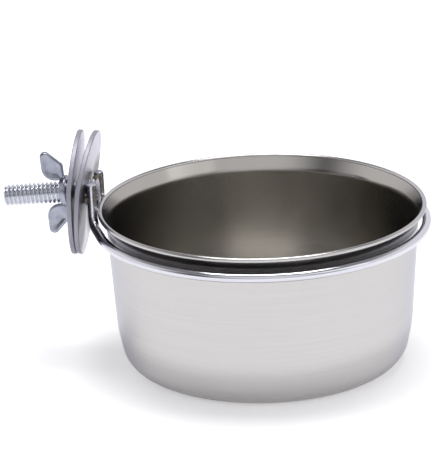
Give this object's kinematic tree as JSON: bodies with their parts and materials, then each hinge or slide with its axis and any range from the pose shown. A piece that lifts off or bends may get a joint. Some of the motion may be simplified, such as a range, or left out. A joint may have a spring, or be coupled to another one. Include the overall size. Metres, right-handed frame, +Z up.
{
  "type": "clamp-on seed cup",
  "caption": "Round steel seed cup resting in a wire ring, with a threaded stud, bent washers and a wing nut that clamp the ring to the bars of a cage.",
  "frame": {"origin": "middle of the flat underside of the cup's base", "axes": "+Z up along the cup's axis, -X from the cup towards the clamp, +Y completes a right-handed frame"},
  "size_m": [0.1248, 0.098, 0.0683],
  "materials": {
    "satin_stainless": "satin",
    "bright_wire": "polished",
    "zinc_plate": "bright plated",
    "zinc_fastener": "zinc plated",
    "weld_steel": "as welded"
  },
  "bodies": {
    "holder": {"ring_wire": "bright_wire", "clamp_stud": "zinc_fastener", "inner_washer": "zinc_plate", "weld_beads": "weld_steel"},
    "cup": {"cup": "satin_stainless"},
    "outer_washer": {"outer_washer": "zinc_plate"},
    "wing_nut": {"wing_nut": "zinc_fastener"}
  },
  "joints": [
    {"name": "cup_lift", "type": "slide", "parent": "holder", "child": "cup", "axis": [0, 0, 1], "range_m": [-0.002, 0.055]},
    {"name": "washer_slide", "type": "slide", "parent": "holder", "child": "outer_washer", "axis": [-0.9959, 0, -0.0906], "range_m": [0, 0.012]},
    {"name": "nut_turn", "type": "hinge", "parent": "outer_washer", "child": "wing_nut", "pos_m": [-0.05689, 0, 0.05027], "axis": [-0.9959, 0, -0.0906], "range_deg": [0, 3402]}
  ],
  "couplings": [
    {"joint": "nut_turn", "follows": "washer_slide", "rad_per_m": 4947.4}
  ]
}
